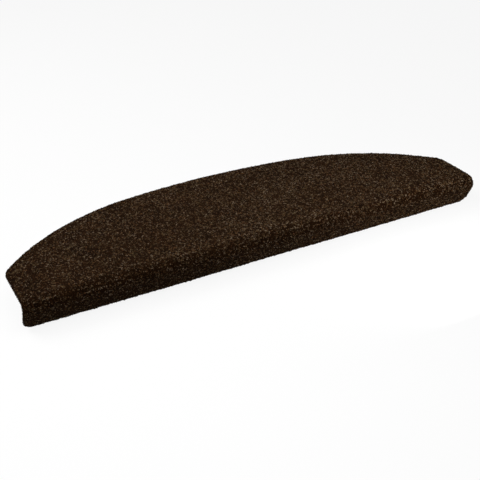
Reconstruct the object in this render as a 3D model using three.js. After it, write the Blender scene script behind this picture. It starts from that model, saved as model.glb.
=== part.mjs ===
import * as THREE from 'three';
import { mergeVertices } from 'three/addons/utils/BufferGeometryUtils.js';

// An anti slip stair tread mat: one sheet of needled felt, cut to a bowed
// outline and folded once, so that its front lip hooks over the stair's nosing.
// Millimetres, +X along the step, +Y towards the riser, +Z up. The origin is on
// the flat underside, half way along the mat and half way back.

// Outline of the tread, measured from the sharp corner that the fold rounds off
const matLength = 540;
const treadDepth = 160; // to the back edge at mid length
const endDepth = 66; // to the back edge at the two ends, before its corner is rounded
const crownRadius = 740; // the shallow bow in the middle of the back edge
const crownHalfWidth = 115; // where the crown runs into the tighter shoulders
const backCornerRadius = 20;

// Lip over the nosing, measured down its outer face from the same corner
const lipLength = 40;
const lipCornerRadius = 10;

// Fold
const foldAngle = 115; // past square, so that the lip grips the nosing
const foldInnerRadius = 6;

// Felt
const feltThickness = 4;
const edgeRounding = 1.3; // the soft arris of the cut edge
const feltColour = 0x2d2116;
const feltRoughness = 0.95;

// Facets
const cornerSteps = 8;
const shoulderSteps = 12;
const crownSteps = 8;
const foldSteps = 14;
const treadRows = 4;
const edgeSteps = 3;

const halfLength = matLength / 2;
const foldRadius = foldInnerRadius + feltThickness;
const foldTurn = THREE.MathUtils.degToRad(foldAngle);
const foldSetback = foldRadius * Math.tan(foldTurn / 2);
const arrisRadius = Math.min(edgeRounding, feltThickness / 3);

// The back edge is three arcs a side, each tangent to the next. The shoulder
// starts square to the crown's end and is as round as it must be to reach the end corner.
function backArcs() {
  const crownTurn = Math.acos(crownHalfWidth / crownRadius);
  const crownCentre = new THREE.Vector2(0, treadDepth - crownRadius);
  const crownEnd = pointOnArc(crownCentre, crownRadius, crownTurn);
  const crownNormal = new THREE.Vector2(Math.cos(crownTurn), Math.sin(crownTurn));
  const toCorner = new THREE.Vector2(halfLength, endDepth).sub(crownEnd);
  const shoulderRadius = -toCorner.lengthSq() / (2 * toCorner.dot(crownNormal));
  const shoulderCentre = crownEnd.clone().addScaledVector(crownNormal, -shoulderRadius);

  const cornerX = halfLength - backCornerRadius;
  const reach = shoulderRadius - backCornerRadius;
  const across = cornerX - shoulderCentre.x;
  const cornerCentre = new THREE.Vector2(
    cornerX,
    shoulderCentre.y + Math.sqrt(reach * reach - across * across)
  );
  const cornerTurn = Math.acos(across / reach);
  return [
    { centre: cornerCentre, radius: backCornerRadius, from: 0, to: cornerTurn, steps: cornerSteps },
    { centre: shoulderCentre, radius: shoulderRadius, from: cornerTurn, to: crownTurn, steps: shoulderSteps },
    { centre: crownCentre, radius: crownRadius, from: crownTurn, to: Math.PI / 2, steps: crownSteps },
  ];
}

function pointOnArc(centre, radius, turn) {
  return new THREE.Vector2(centre.x + radius * Math.cos(turn), centre.y + radius * Math.sin(turn));
}

// Half of the back edge, from the right end to mid length, moved in by an inset
function halfBackEdge(inset) {
  const points = [];
  for (const arc of backArcs()) {
    for (let step = 0; step < arc.steps; step++) {
      const turn = THREE.MathUtils.lerp(arc.from, arc.to, step / arc.steps);
      points.push(pointOnArc(arc.centre, arc.radius - inset, turn));
    }
  }
  points.push(new THREE.Vector2(0, treadDepth - inset));
  return points;
}

// Half of the lip's hem, with a point for each point of the back edge
function halfHem(inset) {
  const straightEnd = halfLength - lipCornerRadius;
  const centre = new THREE.Vector2(straightEnd, lipCornerRadius - lipLength);
  const points = [];
  for (let step = 0; step < cornerSteps; step++) {
    const turn = (-Math.PI / 2) * (step / cornerSteps);
    points.push(pointOnArc(centre, lipCornerRadius - inset, turn));
  }
  const straightSteps = shoulderSteps + crownSteps;
  for (let step = 0; step <= straightSteps; step++) {
    points.push(new THREE.Vector2(straightEnd * (1 - step / straightSteps), inset - lipLength));
  }
  return points;
}

function mirrored(half) {
  const left = half.map((point) => new THREE.Vector2(-point.x, point.y));
  const right = half.slice(0, -1).reverse();
  return [...left, ...right];
}

// One line of points across the sheet from hem to back edge. The points in the
// fold keep the same distances in every line, so the fold is one true cylinder.
function lineAcross(hem, back) {
  const distances = [hem.y];
  for (let step = 0; step <= foldSteps; step++) {
    distances.push(foldSetback * ((2 * step) / foldSteps - 1));
  }
  for (let row = 1; row <= treadRows; row++) {
    distances.push(THREE.MathUtils.lerp(foldSetback, back.y, row / treadRows));
  }
  return distances.map((distance) => {
    const share = (distance - hem.y) / (back.y - hem.y);
    return new THREE.Vector2(THREE.MathUtils.lerp(hem.x, back.x, share), distance);
  });
}

function flatSheet(inset) {
  const hem = mirrored(halfHem(inset));
  const back = mirrored(halfBackEdge(inset));
  return hem.map((point, index) => lineAcross(point, back[index]));
}

// Takes a point of the flat sheet, and its depth below the upper face, round the fold
function folded(point, depth) {
  const share = THREE.MathUtils.clamp((foldSetback - point.y) / (2 * foldSetback), 0, 1);
  const turn = foldTurn * share;
  const radius = foldRadius - depth;
  const onTread = Math.max(0, point.y - foldSetback);
  const onLip = Math.max(0, -foldSetback - point.y);
  return new THREE.Vector3(
    point.x,
    foldSetback + onTread - radius * Math.sin(turn) - onLip * Math.cos(turn) - treadDepth / 2,
    feltThickness - foldRadius + radius * Math.cos(turn) - onLip * Math.sin(turn)
  );
}

function foldedSheet(inset, depth) {
  return flatSheet(inset).map((line) => line.map((point) => folded(point, depth)));
}

// The rim of a sheet, once round: along the hem, up the right end, back along
// the back edge and down the left end
function rim(sheet) {
  const last = sheet.length - 1;
  const hem = sheet.map((line) => line[0]);
  const back = sheet.map((line) => line[line.length - 1]).reverse();
  const rightEnd = sheet[last].slice(1, -1);
  const leftEnd = sheet[0].slice(1, -1).reverse();
  return [...hem, ...rightEnd, ...back, ...leftEnd];
}

// Insets and depths down the cut edge: a quarter round, a plain wall, a quarter round
function edgeSection() {
  const section = [];
  for (let step = 0; step <= edgeSteps; step++) {
    const turn = (Math.PI / 2) * (step / edgeSteps);
    section.push({ inset: arrisRadius * (1 - Math.sin(turn)), depth: arrisRadius * (1 - Math.cos(turn)) });
  }
  const lower = section.map(({ inset, depth }) => ({ inset, depth: feltThickness - depth }));
  return [...section, ...lower.reverse()];
}

function addQuad(positions, a, b, c, d) {
  for (const corner of [a, b, c, a, c, d]) {
    positions.push(corner.x, corner.y, corner.z);
  }
}

function addFace(positions, sheet, facesUp) {
  for (let line = 1; line < sheet.length; line++) {
    for (let row = 1; row < sheet[line].length; row++) {
      const corners = [
        sheet[line - 1][row - 1],
        sheet[line][row - 1],
        sheet[line][row],
        sheet[line - 1][row],
      ];
      addQuad(positions, ...(facesUp ? corners : corners.reverse()));
    }
  }
}

function addBand(positions, upper, lower) {
  for (let index = 0; index < upper.length; index++) {
    const next = (index + 1) % upper.length;
    addQuad(positions, upper[index], lower[index], lower[next], upper[next]);
  }
}

function feltGeometry() {
  const positions = [];
  addFace(positions, foldedSheet(arrisRadius, 0), true);
  addFace(positions, foldedSheet(arrisRadius, feltThickness), false);
  const rims = edgeSection().map(({ inset, depth }) => rim(foldedSheet(inset, depth)));
  for (let index = 1; index < rims.length; index++) {
    addBand(positions, rims[index - 1], rims[index]);
  }
  const geometry = new THREE.BufferGeometry();
  geometry.setAttribute('position', new THREE.Float32BufferAttribute(positions, 3));
  const closed = mergeVertices(geometry);
  closed.computeVertexNormals();
  return closed;
}

function feltMaterial() {
  return new THREE.MeshStandardMaterial({
    color: feltColour,
    roughness: feltRoughness,
    metalness: 0,
  });
}

const treadMat = new THREE.Mesh(feltGeometry(), feltMaterial());
treadMat.name = 'tread_mat';

const stairTreadMat = new THREE.Group();
stairTreadMat.add(treadMat);

export default stairTreadMat;
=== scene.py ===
import math

import bpy
import numpy as np
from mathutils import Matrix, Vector


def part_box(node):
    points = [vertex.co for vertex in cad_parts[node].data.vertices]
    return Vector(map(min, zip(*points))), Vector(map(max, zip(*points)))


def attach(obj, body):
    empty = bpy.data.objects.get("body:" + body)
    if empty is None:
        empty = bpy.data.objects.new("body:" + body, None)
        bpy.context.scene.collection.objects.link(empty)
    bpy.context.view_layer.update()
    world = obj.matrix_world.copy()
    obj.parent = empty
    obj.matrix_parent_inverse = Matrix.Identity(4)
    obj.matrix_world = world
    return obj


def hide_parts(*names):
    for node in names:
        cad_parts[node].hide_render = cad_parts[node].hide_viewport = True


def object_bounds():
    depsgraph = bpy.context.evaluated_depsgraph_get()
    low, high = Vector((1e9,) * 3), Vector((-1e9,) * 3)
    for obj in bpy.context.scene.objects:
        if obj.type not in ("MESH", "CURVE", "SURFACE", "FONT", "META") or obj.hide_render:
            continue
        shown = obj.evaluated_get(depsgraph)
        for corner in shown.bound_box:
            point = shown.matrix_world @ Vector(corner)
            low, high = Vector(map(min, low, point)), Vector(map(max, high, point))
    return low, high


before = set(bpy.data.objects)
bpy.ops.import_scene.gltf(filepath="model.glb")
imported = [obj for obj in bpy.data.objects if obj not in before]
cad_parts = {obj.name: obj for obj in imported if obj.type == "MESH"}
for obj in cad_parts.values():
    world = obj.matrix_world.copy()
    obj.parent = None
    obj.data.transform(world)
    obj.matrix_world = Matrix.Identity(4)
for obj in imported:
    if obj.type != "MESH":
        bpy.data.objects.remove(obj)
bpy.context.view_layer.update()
print("stage: frame loaded")

mm = 0.001
matLow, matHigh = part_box("tread_mat")

# The felt sheet, with the same sizes as the solid that it stands for
sheet = {
    "length": matHigh.x - matLow.x,
    "treadDepth": 2 * matHigh.y,  # the origin is half way back
    "thickness": matHigh.z,  # and on the underside
    "endDepth": 66 * mm,
    "crownRadius": 740 * mm,
    "crownHalfWidth": 115 * mm,
    "backCornerRadius": 20 * mm,
    "lipLength": 40 * mm,
    "lipCornerRadius": 10 * mm,
    "foldAngle": 115,
    "foldInnerRadius": 6 * mm,
    "arris": 1.3 * mm,
    "fineStep": 1.8 * mm,  # between the mesh's points
    "lumpSize": 11 * mm,
    "lumpHeight": 0.22 * mm,
    "tuftSize": 2.6 * mm,
    "tuftHeight": 0.22 * mm,
    "waveSize": 95 * mm,
    "waveHeight": 0.35 * mm,
    "crestAt": (-8.8 * mm, -6 * mm),  # the line along the fold that the creases and the painted highlight follow, at the left and right ends
    "creaseSpacing": 4.8 * mm,  # fine creases run beside it, where the fold stretched the felt
    "creaseReach": 4.5 * mm,
    "creaseShift": -1.6 * mm,  # there are more of them on the lip's side
    "creaseHeight": 0.28 * mm,
    "backRelief": 0.5,  # how much of the face's relief is left on the pressed back
    "coatSize": 5 * mm,  # the coat on the back lies a little unevenly
    "coatHeight": 0.12 * mm,
    "frayDepth": 0.16 * mm,  # how far the blade left the cut edge uneven
    "fraySize": 2.2 * mm,
}

# Where the sheet's faces lie on its baking map, as shares of the map's side
bakeMap = {
    "length": 0.96,
    "margin": 0.02,
    "undersideUp": 0.36,
    "cutEdgeUp": 0.76,
    "ringDepth": 0.025,
}

# One start number for each field of random heights, and the first one for the fibres
seeds = {"waves": 11, "lumps": 12, "tufts": 13, "coat": 14, "fray": 21, "pits": 31, "fibres": 100}

halfLength = sheet["length"] / 2
thickness = sheet["thickness"]
foldTurn = math.radians(sheet["foldAngle"])
foldRadius = sheet["foldInnerRadius"] + thickness
foldArc = foldRadius * foldTurn
foldSetback = foldRadius * math.tan(foldTurn / 2)
foldStart = foldSetback - sheet["treadDepth"] / 2  # where the tread's flat begins
lipFlat = sheet["lipLength"] - foldSetback
hemLine = -(foldArc + lipFlat)  # the hem, measured along the sheet from foldStart


def softNoise(along, across, cell, seed):
    # smooth random heights from -1 to 1, one a cell
    side = 512
    lattice = np.random.default_rng(seed).uniform(-1, 1, (side, side))
    u, v = along / cell, across / cell
    column, row = np.floor(u).astype(int), np.floor(v).astype(int)
    fu, fv = u - column, v - row
    fu, fv = fu * fu * (3 - 2 * fu), fv * fv * (3 - 2 * fv)
    near, far = column % side, (column + 1) % side
    low, high = row % side, (row + 1) % side
    lowRow = lattice[near, low] * (1 - fu) + lattice[far, low] * fu
    highRow = lattice[near, high] * (1 - fu) + lattice[far, high] * fu
    return lowRow * (1 - fv) + highRow * fv


def folded(along, across, height):
    # a point of the flat sheet, at a height over its upper face, taken round the fold
    turn = np.clip(-across / foldRadius, 0, foldTurn)
    onTread = np.maximum(across, 0)
    onLip = np.maximum(-across - foldArc, 0)
    radius = foldRadius + height
    y = foldStart + onTread - radius * np.sin(turn) - onLip * np.cos(turn)
    z = thickness - foldRadius + radius * np.cos(turn) - onLip * np.sin(turn)
    return np.stack([along, y, z], axis=-1)


def backArcs():
    # corner, shoulder and crown of the right half, each tangent to the next
    treadDepth, crownRadius = sheet["treadDepth"], sheet["crownRadius"]
    corner = sheet["backCornerRadius"]
    crownTurn = math.acos(sheet["crownHalfWidth"] / crownRadius)
    normal = np.array([math.cos(crownTurn), math.sin(crownTurn)])
    crownCentre = np.array([0, treadDepth - crownRadius])
    crownEnd = crownCentre + crownRadius * normal
    toEnd = np.array([halfLength, sheet["endDepth"]]) - crownEnd
    shoulderRadius = -(toEnd @ toEnd) / (2 * toEnd @ normal)
    shoulderCentre = crownEnd - shoulderRadius * normal
    reach = shoulderRadius - corner
    across = halfLength - corner - shoulderCentre[0]
    cornerCentre = np.array([
        halfLength - corner,
        shoulderCentre[1] + math.sqrt(reach**2 - across**2),
    ])
    cornerTurn = math.acos(across / reach)
    return [
        (cornerCentre, corner, 0, cornerTurn),
        (shoulderCentre, shoulderRadius, cornerTurn, crownTurn),
        (crownCentre, crownRadius, crownTurn, math.pi / 2),
    ]


def arcCount(radius, start, end):
    step = sheet["fineStep"] * min(1, radius / (40 * mm))  # finer round the tight corner
    return math.ceil((end - start) * radius / step)


def halfBackEdge(inset=0):
    # from the right end to mid length, with across measured from foldStart
    points = []
    for centre, radius, start, end in backArcs():
        turn = np.linspace(start, end, arcCount(radius, start, end) + 1)[:-1, None]
        points.append(centre + (radius - inset) * np.hstack([np.cos(turn), np.sin(turn)]))
    points.append([[0, sheet["treadDepth"] - inset]])
    return np.concatenate(points) - [0, foldSetback]


def halfHem(inset=0):
    # as many points as halfBackEdge has, each opposite one of its
    cornerCount = arcCount(*backArcs()[0][1:])
    radius = sheet["lipCornerRadius"]
    straightEnd = halfLength - radius
    turn = -np.linspace(0, math.pi / 2, cornerCount + 1)[:-1, None]
    centre = np.array([straightEnd, hemLine + radius])
    corner = centre + (radius - inset) * np.hstack([np.cos(turn), np.sin(turn)])
    x = np.linspace(straightEnd, 0, len(halfBackEdge()) - cornerCount)
    return np.concatenate([corner, np.stack([x, np.full_like(x, hemLine + inset)], axis=1)])


def mirrored(half):
    return np.concatenate([half * [-1, 1], half[-2::-1]])


def sheetGrid(inset=0):
    # lines of points across the flat sheet, each from the hem to the back edge
    hem, back = mirrored(halfHem(inset)), mirrored(halfBackEdge(inset))
    rows = round((sheet["treadDepth"] + sheet["lipLength"]) / sheet["fineStep"])
    share = np.linspace(0, 1, rows)[None, :, None]
    return hem[:, None] * (1 - share) + back[:, None] * share


def rimLoop(grid):
    # the grid's own rim, once round
    return np.concatenate([grid[:, 0], grid[-1, 1:-1], grid[::-1, -1], grid[0, -2:0:-1]])


hemHalf, backHalf = halfHem()[::-1], halfBackEdge()[::-1]
backSlope = np.diff(backHalf[:, 1]) / np.diff(backHalf[:, 0])
slopeAt = (backHalf[1:, 0] + backHalf[:-1, 0]) / 2


def edgeLimits(along):
    # the hem and the back edge at this place along the mat
    far = np.abs(along)
    return np.interp(far, *hemHalf.T), np.interp(far, *backHalf.T)


def rimDistance(along, across):
    low, high = edgeLimits(along)
    slope = np.interp(np.abs(along), slopeAt, backSlope)
    toBack = (high - across) / np.hypot(1, slope)
    return np.minimum(np.minimum(halfLength - np.abs(along), across - low), toBack)


def fromCrest(along, across):
    return across - np.interp(along, (-halfLength, halfLength), sheet["crestAt"])


def crease(along, across):
    # from -1 in the grooves beside the fold's crest to 1 on it
    apart = fromCrest(along, across)
    fade = np.exp(-(((apart - sheet["creaseShift"]) / sheet["creaseReach"]) ** 2))
    return fade * np.cos(2 * np.pi * apart / sheet["creaseSpacing"])


def surfaceHeight(along, across):
    # the face's own relief: slow waves, felt lumps, needled tufts and the fold's creases
    height = sheet["waveHeight"] * softNoise(along, across, sheet["waveSize"], seeds["waves"])
    height += sheet["lumpHeight"] * softNoise(along, across, sheet["lumpSize"], seeds["lumps"])
    height += sheet["tuftHeight"] * softNoise(along, across, sheet["tuftSize"], seeds["tufts"])
    height += sheet["creaseHeight"] * crease(along, across)
    return height


def backHeight(along, across):
    # the coated back is pressed flatter than the face
    uneven = sheet["coatHeight"] * softNoise(along, across, sheet["coatSize"], seeds["coat"])
    return surfaceHeight(along, across) * sheet["backRelief"] + uneven


def arrisDrop(distance):
    arris = sheet["arris"]
    inwards = np.clip(arris - distance, 0, arris)
    return arris - np.sqrt(arris**2 - inwards**2)


def buildMesh(name, places, faces, flat=None):
    # faces is a list of index arrays, and flat has their corners' places on the baking map
    mesh = bpy.data.meshes.new(name)
    mesh.vertices.add(len(places))
    mesh.vertices.foreach_set("co", places.astype(np.float32).ravel())
    corners = np.concatenate([part.ravel() for part in faces])
    counts = np.concatenate([np.full(len(part), part.shape[1]) for part in faces])
    starts = np.concatenate([[0], np.cumsum(counts)[:-1]])
    mesh.loops.add(len(corners))
    mesh.loops.foreach_set("vertex_index", corners.astype(np.int32))
    mesh.polygons.add(len(counts))
    mesh.polygons.foreach_set("loop_start", starts.astype(np.int32))
    mesh.update(calc_edges=True)
    mesh.shade_smooth()
    if flat:
        layer = mesh.uv_layers.new(name="OFBake")
        layer.data.foreach_set("uv", np.concatenate([part.ravel() for part in flat]).astype(np.float32))
    piece = bpy.data.objects.new(name, mesh)
    bpy.context.scene.collection.objects.link(piece)
    return piece


def addAttribute(piece, name, values):
    stored = piece.data.attributes.new(name, "FLOAT", "POINT")
    stored.data.foreach_set("value", values.astype(np.float32).ravel())


def gridFaces(index, facesUp):
    a, b, c, d = index[:-1, :-1], index[1:, :-1], index[1:, 1:], index[:-1, 1:]
    order = (a, b, c, d) if facesUp else (d, c, b, a)
    return np.stack([corner.ravel() for corner in order], axis=1)


def makeFeltSheet():
    arris = sheet["arris"]
    face = sheetGrid(arris)
    along, across = face[..., 0], face[..., 1]
    relief = surfaceHeight(along, across)
    index = np.arange(relief.size).reshape(relief.shape)
    places = [folded(along, across, relief).reshape(-1, 3)]

    # rings down the cut edge, with how far in and how far down each is
    turns = np.radians([30, 60, 90])
    steps = list(zip(arris * (1 - np.sin(turns)), arris * (1 - np.cos(turns))))
    steps += [(0, thickness / 2)] + [(inset, thickness - down) for inset, down in steps[::-1]]
    rings = [rimLoop(index)]
    count = len(rings[0])
    walk = np.arange(count) * sheet["fineStep"]
    for inset, down in steps:
        rim = rimLoop(sheetGrid(inset))
        tangent = np.roll(rim, -1, axis=0) - np.roll(rim, 1, axis=0)
        outward = tangent[:, ::-1] * [1, -1] / np.linalg.norm(tangent, axis=1, keepdims=True)
        depth = np.full(count, down)
        fray = sheet["frayDepth"] * softNoise(walk, depth, sheet["fraySize"], seeds["fray"])
        x, y = (rim + outward * fray[:, None]).T
        height = rimLoop(relief) * (1 - (1 - sheet["backRelief"]) * down / thickness) - down
        rings.append(sum(map(len, places)) + np.arange(count))
        places.append(folded(x, y, height))
    underIndex = index + sum(map(len, places))
    places.append(folded(along, across, backHeight(along, across) - thickness).reshape(-1, 3))
    rings.append(rimLoop(underIndex))

    # the face, the underside and a strip for the cut edge, laid flat on the baking map
    scale = bakeMap["length"] / sheet["length"]
    mapped = np.stack([(along + halfLength) * scale, (across - hemLine) * scale], axis=-1)
    mapped = (mapped + bakeMap["margin"]).reshape(-1, 2)
    faces = [gridFaces(index, True), gridFaces(underIndex, False)]
    flat = [mapped[faces[0]], mapped[faces[1] - underIndex[0, 0]] + [0, bakeMap["undersideUp"]]]
    u = np.arange(count) / count
    for k, (upper, lower) in enumerate(zip(rings, rings[1:])):
        faces.append(np.stack([upper, lower, np.roll(lower, -1), np.roll(upper, -1)], axis=1))
        corners = [(u, k), (u, k + 1), (u + 1 / count, k + 1), (u + 1 / count, k)]
        flat.append(np.stack([
            np.stack([a, np.full(count, bakeMap["cutEdgeUp"] + bakeMap["ringDepth"] * b)], axis=1)
            for a, b in corners
        ], axis=1))
    piece = buildMesh("feltSheet", np.concatenate(places), faces, flat)
    worn = np.zeros(sum(map(len, faces)), dtype=np.int32)
    worn[len(faces[0]):len(faces[0]) + len(faces[1])] = 1  # the underside wears the second material
    piece.data.polygons.foreach_set("material_index", worn)
    inwards = np.zeros(sum(map(len, places)))
    inwards[:index.size] = rimDistance(along, across).ravel()
    inwards[-index.size:] = inwards[:index.size]
    addAttribute(piece, "inwards", inwards / mm)
    return piece


def linear(hexColour):
    # an sRGB hex colour as linear numbers
    values = [int(hexColour[i:i + 2], 16) / 255 for i in (1, 3, 5)]
    return [v / 12.92 if v <= 0.04045 else ((v + 0.055) / 1.055) ** 2.4 for v in values] + [1]


def addNode(tree, kind, settings=None, sockets=None):
    # sockets holds a number or colour to set, or another node's output to link
    node = tree.nodes.new(kind)
    for name, value in (settings or {}).items():
        setattr(node, name, value)
    for name, value in (sockets or {}).items():
        if isinstance(value, bpy.types.NodeSocket):
            tree.links.new(value, node.inputs[name])
        else:
            node.inputs[name].default_value = value
    return node


def newMaterial(name):
    material = bpy.data.materials.new(name)
    material.use_nodes = True
    tree = material.node_tree
    tree.nodes.clear()
    return material, tree


# Needle punched polypropylene felt: barbed needles have locked dyed staple fibres into
# a mat with pits between its tufts, so it is dull and speckled. Its ground is the felt's own dark with
# painted shade, nearly black in the pits, where the same grain also lowers the bump
felt = {
    "pit": "#0b0400",
    "tuft": "#1b0b02",
    "fibre": "#412a17",
    "edge": "#0f0602",  # darker in a band along the cut edge
    "edgeWidth": 1.6,  # in mm
    "roughness": 0.9,
    "ior": 1.49,
    "specular": 0.03,  # light that enters between the fibres isn't thrown back
    "mottleSize": 24 * mm,
    "mottleShare": 0.3,
    "grainSize": 1.4 * mm,
    "grainRange": (0.5, 0.85),  # the noise values that give the pit and the tuft colours
    "fibreSpacing": 1.5 * mm,
    "fibreWidth": 0.15 * mm,  # fibres are 0.03 mm thick, so bundles are drawn in their place
    "fibreRise": 0.4,  # against the grain's height
    "bumpHeight": 0.5 * mm,
    "bumpStrength": 0.7,
}


def tangledLines(tree, where, spacing, width):
    # fibres that lie tangled in the surface, from 0 between them to 1 on one
    bent = addNode(tree, "ShaderNodeTexNoise", sockets={
        "Vector": where, "Scale": 0.5 / spacing, "Detail": 2.0})
    curl = addNode(tree, "ShaderNodeVectorMath", {"operation": "MULTIPLY_ADD"}, {
        0: bent.outputs["Color"], 1: [2.5 * spacing] * 3, 2: where})
    tangle = addNode(tree, "ShaderNodeTexVoronoi", {"feature": "DISTANCE_TO_EDGE"}, {
        "Vector": curl.outputs[0], "Scale": 1 / spacing})
    return addNode(tree, "ShaderNodeMapRange", {"interpolation_type": "SMOOTHSTEP"}, {
        "Value": tangle.outputs["Distance"], "From Max": width / spacing,
        "To Min": 1.0, "To Max": 0.0}).outputs[0]


def feltGround():
    material, tree = newMaterial("needledFeltGround")
    where = addNode(tree, "ShaderNodeTexCoord").outputs["Object"]
    mottle = addNode(tree, "ShaderNodeTexNoise", sockets={
        "Vector": where, "Scale": 1 / felt["mottleSize"], "Detail": 2.0})
    grain = addNode(tree, "ShaderNodeTexNoise", sockets={
        "Vector": where, "Scale": 1 / felt["grainSize"], "Detail": 3.0, "Roughness": 0.6})
    shade = addNode(tree, "ShaderNodeMath", {"operation": "MULTIPLY_ADD"}, {
        0: mottle.outputs["Fac"], 1: felt["mottleShare"], 2: grain.outputs["Fac"]})
    darkest, lightest = felt["grainRange"]
    spread = addNode(tree, "ShaderNodeMapRange", sockets={
        "Value": shade.outputs[0], "From Min": darkest, "From Max": lightest})
    inwards = addNode(tree, "ShaderNodeAttribute", {"attribute_name": "inwards"})
    fromEdge = addNode(tree, "ShaderNodeMapRange", {"interpolation_type": "SMOOTHSTEP"}, {
        "Value": inwards.outputs["Fac"], "From Max": felt["edgeWidth"]})
    colour = addNode(tree, "ShaderNodeMix", {"data_type": "RGBA"}, {
        0: spread.outputs[0], 6: linear(felt["pit"]), 7: linear(felt["tuft"])})
    lines = tangledLines(tree, where, felt["fibreSpacing"], felt["fibreWidth"])
    shown = addNode(tree, "ShaderNodeMath", {"operation": "MULTIPLY"}, {0: lines, 1: spread.outputs[0]})
    lined = addNode(tree, "ShaderNodeMix", {"data_type": "RGBA"}, {
        0: shown.outputs[0], 6: colour.outputs[2], 7: linear(felt["fibre"])})
    worn = addNode(tree, "ShaderNodeMix", {"data_type": "RGBA"}, {
        0: fromEdge.outputs[0], 6: linear(felt["edge"]), 7: lined.outputs[2]})
    raised = addNode(tree, "ShaderNodeMath", {"operation": "MULTIPLY_ADD"}, {
        0: lines, 1: felt["fibreRise"], 2: grain.outputs["Fac"]})
    bump = addNode(tree, "ShaderNodeBump", sockets={
        "Height": raised.outputs[0], "Distance": felt["bumpHeight"], "Strength": felt["bumpStrength"]})
    shader = addNode(tree, "ShaderNodeBsdfPrincipled", sockets={
        "Base Color": worn.outputs[2], "Roughness": felt["roughness"], "IOR": felt["ior"],
        "Specular IOR Level": felt["specular"], "Normal": bump.outputs[0]})
    addNode(tree, "ShaderNodeOutputMaterial", sockets={"Surface": shader.outputs[0]})
    return material


# Latex sprayed thinly on the felt's back, so that it grips the stair: smoother than the face
# and slightly rubbery, stippled by the drops, with the felt's fibres showing through
coat = {
    "thin": "#150d06",
    "thick": "#2b1f15",
    "fibre": "#4a3826",
    "roughness": 0.62,
    "ior": 1.52,
    "specular": 0.2,
    "dropSize": 1.3 * mm,
    "cloudSize": 16 * mm,
    "cloudRange": (0.7, 1.3),  # the noise values that give the thin and the thick colours
    "fibreSpacing": 2.6 * mm,
    "fibreWidth": 0.3 * mm,  # ten times a real one, so that it shows
    "fibreRise": 0.5,  # against the drops' height
    "bumpHeight": 0.3 * mm,
    "bumpStrength": 0.6,
}


def latexBack():
    material, tree = newMaterial("latexCoatedBack")
    where = addNode(tree, "ShaderNodeTexCoord").outputs["Object"]
    cloud = addNode(tree, "ShaderNodeTexNoise", sockets={
        "Vector": where, "Scale": 1 / coat["cloudSize"], "Detail": 3.0})
    drops = addNode(tree, "ShaderNodeTexNoise", sockets={
        "Vector": where, "Scale": 1 / coat["dropSize"], "Detail": 2.0})
    shade = addNode(tree, "ShaderNodeMath", {"operation": "ADD"}, {
        0: cloud.outputs["Fac"], 1: drops.outputs["Fac"]})
    thinnest, thickest = coat["cloudRange"]
    spread = addNode(tree, "ShaderNodeMapRange", sockets={
        "Value": shade.outputs[0], "From Min": thinnest, "From Max": thickest})
    lines = tangledLines(tree, where, coat["fibreSpacing"], coat["fibreWidth"])
    shown = addNode(tree, "ShaderNodeMath", {"operation": "MULTIPLY"}, {0: lines, 1: cloud.outputs["Fac"]})
    latex = addNode(tree, "ShaderNodeMix", {"data_type": "RGBA"}, {
        0: spread.outputs[0], 6: linear(coat["thin"]), 7: linear(coat["thick"])})
    colour = addNode(tree, "ShaderNodeMix", {"data_type": "RGBA"}, {
        0: shown.outputs[0], 6: latex.outputs[2], 7: linear(coat["fibre"])})
    raised = addNode(tree, "ShaderNodeMath", {"operation": "MULTIPLY_ADD"}, {
        0: lines, 1: coat["fibreRise"], 2: drops.outputs["Fac"]})
    bump = addNode(tree, "ShaderNodeBump", sockets={
        "Height": raised.outputs[0], "Distance": coat["bumpHeight"], "Strength": coat["bumpStrength"]})
    shader = addNode(tree, "ShaderNodeBsdfPrincipled", sockets={
        "Base Color": colour.outputs[2], "Roughness": coat["roughness"], "IOR": coat["ior"],
        "Specular IOR Level": coat["specular"], "Normal": bump.outputs[0]})
    addNode(tree, "ShaderNodeOutputMaterial", sockets={"Surface": shader.outputs[0]})
    return material


# The fibres that lie loose on the felt, one piece for each dye in the blend. They are spun dyed
# polypropylene, smoother than the felt, and each has its own depth of dye, held in "tone", which also
# carries the painted highlight and shade along the fold
fibres = {
    "long": 24000,  # whole staple fibres on the face
    "short": 78000,  # broken ends between them
    "edge": 6000,
    "inTuft": 2,
    "tuftSpread": 0.22 * mm,
    "pitSize": 1.3 * mm,  # between the tufts, where the needles pulled the fibres in
    "pitDepth": 1.1,
    "pitShare": 0.03,  # of the tufts that lie in a pit all the same
    "patchSize": 26 * mm,
    "patchiness": 0.3,  # how uneven the blend is, up to 0.5
    "longLength": (1.6 * mm, 3.4 * mm),
    "shortLength": (0.7 * mm, 1.6 * mm),
    "width": (0.3 * mm, 0.65 * mm),
    "rise": (0.05 * mm, 0.65 * mm),
    "lowest": 0.4,  # the least of its rise that a fibre has along its length
    "bury": 0.3 * mm,
    "bend": 1.4,
    "edgeBand": (0.1, 0.9),  # of the cut edge's depth
    "edgeTone": 0.4,
    "rimTone": 0.1,  # what is left of a fibre's lightness at the rim of the face
    "toneNoise": 0.1,
    "streakShare": 0.4,
    "roughness": 0.65,
    "creaseLightAndShade": 0.4,  # how strong the painted highlight on the fold's crease ridges and the painted shade in their grooves are
    "crestWidth": 1.8 * mm,
    "crestHighlight": (0.1, 1.1),  # the painted highlight on its crest, at mid length and half way to the right end
    "litPatchAt": (-20 * mm, 2 * mm),  # a painted patch of light behind the crest
    "litPatchSize": (80 * mm, 8 * mm),
    "litPatchTone": 0.3,
    "dyes": {  # darkest, lightest and share of the blend
        "espressoFibres": ("#190d05", "#412c18", 0.22),
        "barkFibres": ("#221206", "#70593f", 0.22),
        "umberFibres": ("#261406", "#725236", 0.20),
        "oliveFibres": ("#1f1506", "#6c5a40", 0.18),
        "sandFibres": ("#463524", "#94826d", 0.18),
    },
}


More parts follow.
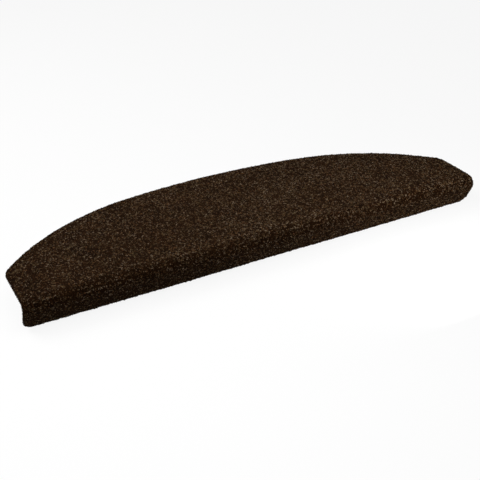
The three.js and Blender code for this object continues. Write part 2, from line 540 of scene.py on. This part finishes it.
def fibreMaterial(name, dark, light):
    material, tree = newMaterial(name)
    where = addNode(tree, "ShaderNodeTexCoord").outputs["Object"]
    tone = addNode(tree, "ShaderNodeAttribute", {"attribute_name": "tone"})
    streak = addNode(tree, "ShaderNodeTexNoise", sockets={
        "Vector": where, "Scale": 1 / felt["grainSize"], "Detail": 1.0})
    shade = addNode(tree, "ShaderNodeMath", {"operation": "MULTIPLY_ADD"}, {
        0: streak.outputs["Fac"], 1: fibres["streakShare"], 2: tone.outputs["Fac"]})
    usual = fibres["streakShare"] / 2
    spread = addNode(tree, "ShaderNodeMapRange", sockets={
        "Value": shade.outputs[0], "From Min": usual, "From Max": 1 + usual})
    colour = addNode(tree, "ShaderNodeMix", {"data_type": "RGBA"}, {
        0: spread.outputs[0], 6: linear(dark), 7: linear(light)})
    shader = addNode(tree, "ShaderNodeBsdfPrincipled", sockets={
        "Base Color": colour.outputs[2], "Roughness": fibres["roughness"], "IOR": felt["ior"],
        "Specular IOR Level": felt["specular"]})
    addNode(tree, "ShaderNodeOutputMaterial", sockets={"Surface": shader.outputs[0]})
    return material


def keepInside(p, q):
    # turns a fibre's end back at the cut edge, with p along the flat sheet and q across it
    margin = 0.25 * mm
    p = np.clip(p, -halfLength - margin, halfLength + margin)
    low, high = edgeLimits(p)
    return p, np.clip(q, low - margin, high + margin)


def onFace(p, q, height):
    p, q = keepInside(p, q)
    return folded(p, q, surfaceHeight(p, q) - arrisDrop(rimDistance(p, q)) + height)


rimLine = rimLoop(sheetGrid())
rimLine = np.concatenate([rimLine, rimLine[:1]])
rimWalked = np.concatenate([[0], np.cumsum(np.linalg.norm(np.diff(rimLine, axis=0), axis=1))])


def onCutEdge(p, q, height):
    # p is the way round the rim, and q is the depth below the face
    here, ahead = (np.stack([
        np.interp((p + step) % rimWalked[-1], rimWalked, rimLine[:, k]) for k in (0, 1)
    ]) for step in (0, 0.5 * mm))
    tangent = (ahead - here) / np.maximum(np.linalg.norm(ahead - here, axis=0), 1e-9)
    fromMiddle = np.abs(q / thickness - 0.5) * 2
    out = height - sheet["arris"] * np.clip(fromMiddle - 0.6, 0, 1)  # where the arrises begin
    x, y = here + np.stack([tangent[1], -tangent[0]]) * out
    return folded(x, y, surfaceHeight(*here) - q)


def fibrePoints(rng, p, q, place, span, rings):
    # for each fibre a tip, rings of three points, and a tip, all on a parabola about p and q
    count = len(p)
    length, width, rise = (
        rng.uniform(*limits, count) for limits in (span, fibres["width"], fibres["rise"])
    )
    heading = rng.uniform(0, 2 * np.pi, count)
    bend = rng.normal(0, fibres["bend"], count)
    points = []
    for station in np.linspace(-0.5, 0.5, rings + 2):
        ahead, aside = station * length, bend * length * (station**2 - 1 / 12)
        pp = p + np.cos(heading) * ahead - np.sin(heading) * aside
        qq = q + np.sin(heading) * ahead + np.cos(heading) * aside
        if abs(station) == 0.5:
            points.append(place(pp, qq, np.full(count, -fibres["bury"])))
            continue
        up = rise * rng.uniform(fibres["lowest"], 1, count)
        turn = heading + 2 * bend * station
        for spoke in np.radians([90, 210, 330]):
            aside, above = math.cos(spoke) * width / 2, math.sin(spoke) * width / 2
            points.append(place(pp - np.sin(turn) * aside, qq + np.cos(turn) * aside, up + above))
    return np.stack(points, axis=1)


def fibreFaces(rings):
    # a fibre's triangles, and where their corners lie on its cell of the baking map
    corners, mapped = [], []
    last = 3 * rings + 1
    for side in range(3):
        v, w = side / 3, (side + 1) / 3
        for ring in range(rings + 1):
            u, x = ring / (rings + 1), (ring + 1) / (rings + 1)
            a, b = 3 * ring - 2 + side, 3 * ring - 2 + (side + 1) % 3
            if ring == 0:
                corners.append((0, b + 3, a + 3))
                mapped.append(((0, v), (x, w), (x, v)))
            elif ring == rings:
                corners.append((a, b, last))
                mapped.append(((u, v), (u, w), (1, v)))
            else:
                corners += [(a, b, b + 3), (a, b + 3, a + 3)]
                mapped += [((u, v), (u, w), (x, w)), ((u, v), (x, w), (x, v))]
    return np.array(corners), np.array(mapped)


def scatterTufts(rng, count):
    # the needles lock fibres in small tufts, and each dye is denser in some patches
    tufts = count // fibres["inTuft"]
    tries = tufts * 8  # enough for those that the patches and pits turn away
    p = rng.uniform(-halfLength, halfLength, tries)
    q = rng.uniform(hemLine, sheet["treadDepth"] - foldSetback, tries)
    low, high = edgeLimits(p)
    patchSeed = int(rng.integers(1000))
    dense = 0.5 + fibres["patchiness"] * softNoise(p, q, fibres["patchSize"], patchSeed)
    pits = fibres["pitDepth"] * softNoise(p, q, fibres["pitSize"], seeds["pits"])
    dense *= np.clip(0.5 + pits, fibres["pitShare"], 1)
    chosen = np.flatnonzero((q > low) & (q < high) & (rng.uniform(0, 1, len(p)) < dense))[:tufts]
    p, q, tone = (np.repeat(values, fibres["inTuft"]) for values in (
        p[chosen], q[chosen], rng.uniform(0, 1, len(chosen))))
    apart = rng.normal(0, fibres["tuftSpread"], (2, len(p)))
    return p + apart[0], q + apart[1], tone


def foldLightAndShade(places):
    # painted highlight and shade along the fold, by each point's own place round it
    p = places[..., 0]
    q = -foldRadius * np.arctan2(foldStart - places[..., 1], places[..., 2] - thickness + foldRadius)
    # painted highlight along the fold's crest, faint at mid length and strongest towards the right end
    crest = np.exp(-((fromCrest(p, q) / fibres["crestWidth"]) ** 2))
    lift = np.interp(p, (0, halfLength / 2), fibres["crestHighlight"])
    # a painted patch of light on the tread behind the crest, at mid length
    middle, size = fibres["litPatchAt"], fibres["litPatchSize"]
    litPatch = np.exp(-(((p - middle[0]) / size[0]) ** 2) - ((q - middle[1]) / size[1]) ** 2)
    # painted highlight on the crease ridges and painted shade in their grooves, then the crest and the
    # patch
    return fibres["creaseLightAndShade"] * crease(p, q) + lift * crest + fibres["litPatchTone"] * litPatch


def makeFibres(name, seed):
    rng = np.random.default_rng(seed)
    dark, light, share = fibres["dyes"][name]
    groups = []
    for kind, rings in (("long", 2), ("short", 1)):
        p, q, tone = scatterTufts(rng, round(fibres[kind] * share))
        points = fibrePoints(rng, p, q, onFace, fibres[kind + "Length"], rings)
        # fibres drawn darker towards the rim of the face, like the ground there
        tone *= np.clip(rimDistance(p, q) / (felt["edgeWidth"] * mm), fibres["rimTone"], 1)
        groups.append((points, tone, rings))
    p = rng.uniform(0, rimWalked[-1], round(fibres["edge"] * share))
    q = rng.uniform(*fibres["edgeBand"], len(p)) * thickness
    tone = rng.uniform(0, fibres["edgeTone"], len(p))
    groups.append((fibrePoints(rng, p, q, onCutEdge, fibres["shortLength"], 1), tone, 1))

    # each fibre has its own square cell on the baking map
    margin = 0.1
    columns = math.ceil(math.sqrt(sum(len(tone) for points, tone, rings in groups)))
    places, faces, flat, tones = [], [], [], []
    start = cell = 0
    for points, tone, rings in groups:
        corners, mapped = fibreFaces(rings)
        first = start + np.arange(len(points)) * points.shape[1]
        square = cell + np.arange(len(points))
        corner = np.stack([square % columns, square // columns], axis=1)[:, None, None]
        faces.append((first[:, None, None] + corners).reshape(-1, 3))
        flat.append((corner + margin + (1 - 2 * margin) * mapped) / columns)
        places.append(points.reshape(-1, 3))
        # the fold's painted highlight and shade are added to each fibre's tone
        varied = (tone + rng.normal(0, fibres["toneNoise"], len(tone)))[:, None] + foldLightAndShade(points)
        tones.append(np.clip(varied, 0, 1).ravel())
        start += points.shape[0] * points.shape[1]
        cell += len(points)
    piece = buildMesh(name, np.concatenate(places), faces, flat)
    addAttribute(piece, "tone", np.concatenate(tones))
    piece.data.materials.append(fibreMaterial(name + "Dyed", dark, light))
    return piece


feltSheet = makeFeltSheet()
feltSheet.data.materials.append(feltGround())
feltSheet.data.materials.append(latexBack())
print("stage: felt sheet,", len(feltSheet.data.polygons), "faces")
pile = [makeFibres(name, seeds["fibres"] + k) for k, name in enumerate(fibres["dyes"])]
print("stage: fibres,", sum(len(piece.data.polygons) for piece in pile), "faces")

for piece in [feltSheet, *pile]:
    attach(piece, "root")
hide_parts("tread_mat")

# Floor and light
studio = {
    "floorDrop": 1.0 * mm,
    "floorSize": 8.0,
    "floorPaint": "#aaaaaa",
    "floorGlow": 0.88,  # how much of what the camera sees of the floor is plain white
    "worldStrength": 0.2,
    "lamps": {  # place, what it points at, size, and power
        "keyLamp": ((-0.76, 0.39, 0.98), (0, 0, 0), 0.8, 10.6),
        "topLamp": ((-0.14, -0.23, 0.46), (-0.10, -0.03, 0), 0.35, 1.1),
        "fillLamp": ((0.17, -0.21, 0.06), (0.17, -0.07, 0), 0.18, 0.24),
    },
}


def cameraRay(tree):
    path = addNode(tree, "ShaderNodeLightPath")
    shine = addNode(tree, "ShaderNodeMath", {"operation": "MAXIMUM"}, {
        0: path.outputs["Is Camera Ray"], 1: path.outputs["Is Glossy Ray"]})
    return addNode(tree, "ShaderNodeMath", {"operation": "MAXIMUM"}, {
        0: shine.outputs[0], 1: path.outputs["Is Transmission Ray"]}).outputs[0]


def makeFloor():
    half = studio["floorSize"] / 2
    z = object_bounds()[0].z - studio["floorDrop"]
    corners = np.array([(-half, -half, z), (half, -half, z), (half, half, z), (-half, half, z)])
    floor = buildMesh("studioFloor", corners, [np.array([[0, 1, 2, 3]])])
    material, tree = newMaterial("paintedFloor")
    paint = addNode(tree, "ShaderNodeBsdfDiffuse", sockets={"Color": linear(studio["floorPaint"])})
    white = addNode(tree, "ShaderNodeBsdfDiffuse", sockets={"Color": (1, 1, 1, 1)})
    glow = addNode(tree, "ShaderNodeEmission", sockets={"Color": (1, 1, 1, 1), "Strength": 1.0})
    seen = addNode(tree, "ShaderNodeMixShader", sockets={
        0: studio["floorGlow"], 1: white.outputs[0], 2: glow.outputs[0]})
    mix = addNode(tree, "ShaderNodeMixShader", sockets={
        0: cameraRay(tree), 1: paint.outputs[0], 2: seen.outputs[0]})
    addNode(tree, "ShaderNodeOutputMaterial", sockets={"Surface": mix.outputs[0]})
    floor.data.materials.append(material)


def makeWorld():
    world = bpy.data.worlds.new("studioWorld")
    bpy.context.scene.world = world
    world.use_nodes = True
    tree = world.node_tree
    tree.nodes.clear()
    strength = addNode(tree, "ShaderNodeMapRange", sockets={
        "Value": cameraRay(tree), "To Min": studio["worldStrength"], "To Max": 1.0})
    sky = addNode(tree, "ShaderNodeBackground", sockets={
        "Color": (1, 1, 1, 1), "Strength": strength.outputs[0]})
    addNode(tree, "ShaderNodeOutputWorld", sockets={"Surface": sky.outputs[0]})


def addLamp(name, place, target, size, power):
    lamp = bpy.data.lights.new(name, "AREA")
    lamp.size = size
    lamp.energy = power
    holder = bpy.data.objects.new(name, lamp)
    holder.location = place
    holder.rotation_euler = (Vector(target) - Vector(place)).to_track_quat("-Z", "Y").to_euler()
    holder.visible_camera = False
    bpy.context.scene.collection.objects.link(holder)


makeFloor()
makeWorld()
for name, lamp in studio["lamps"].items():
    addLamp(name, *lamp)
print("stage: floor and light")

# The photograph's view
view = {
    "azimuth": -28.8,
    "elevation": 30.45,
    "distance": 0.849,
    "target": (-42.4 * mm, -69.8 * mm, 4.4 * mm),
    "lens": 62.3,
    "sensor": 36,
    "clipStart": 0.01,
}


def makeCamera():
    azimuth, elevation = math.radians(view["azimuth"]), math.radians(view["elevation"])
    back = Vector((
        math.sin(azimuth) * math.cos(elevation),
        -math.cos(azimuth) * math.cos(elevation),
        math.sin(elevation),
    ))
    data = bpy.data.cameras.new("photoCamera")
    data.lens = view["lens"]
    data.sensor_width = view["sensor"]
    data.clip_start = view["clipStart"]
    camera = bpy.data.objects.new("photoCamera", data)
    camera.location = Vector(view["target"]) + back * view["distance"]
    camera.rotation_euler = back.to_track_quat("Z", "Y").to_euler()
    bpy.context.scene.collection.objects.link(camera)
    bpy.context.scene.camera = camera


makeCamera()
print("stage: camera")
bpy.context.scene.view_settings.view_transform = "Standard"
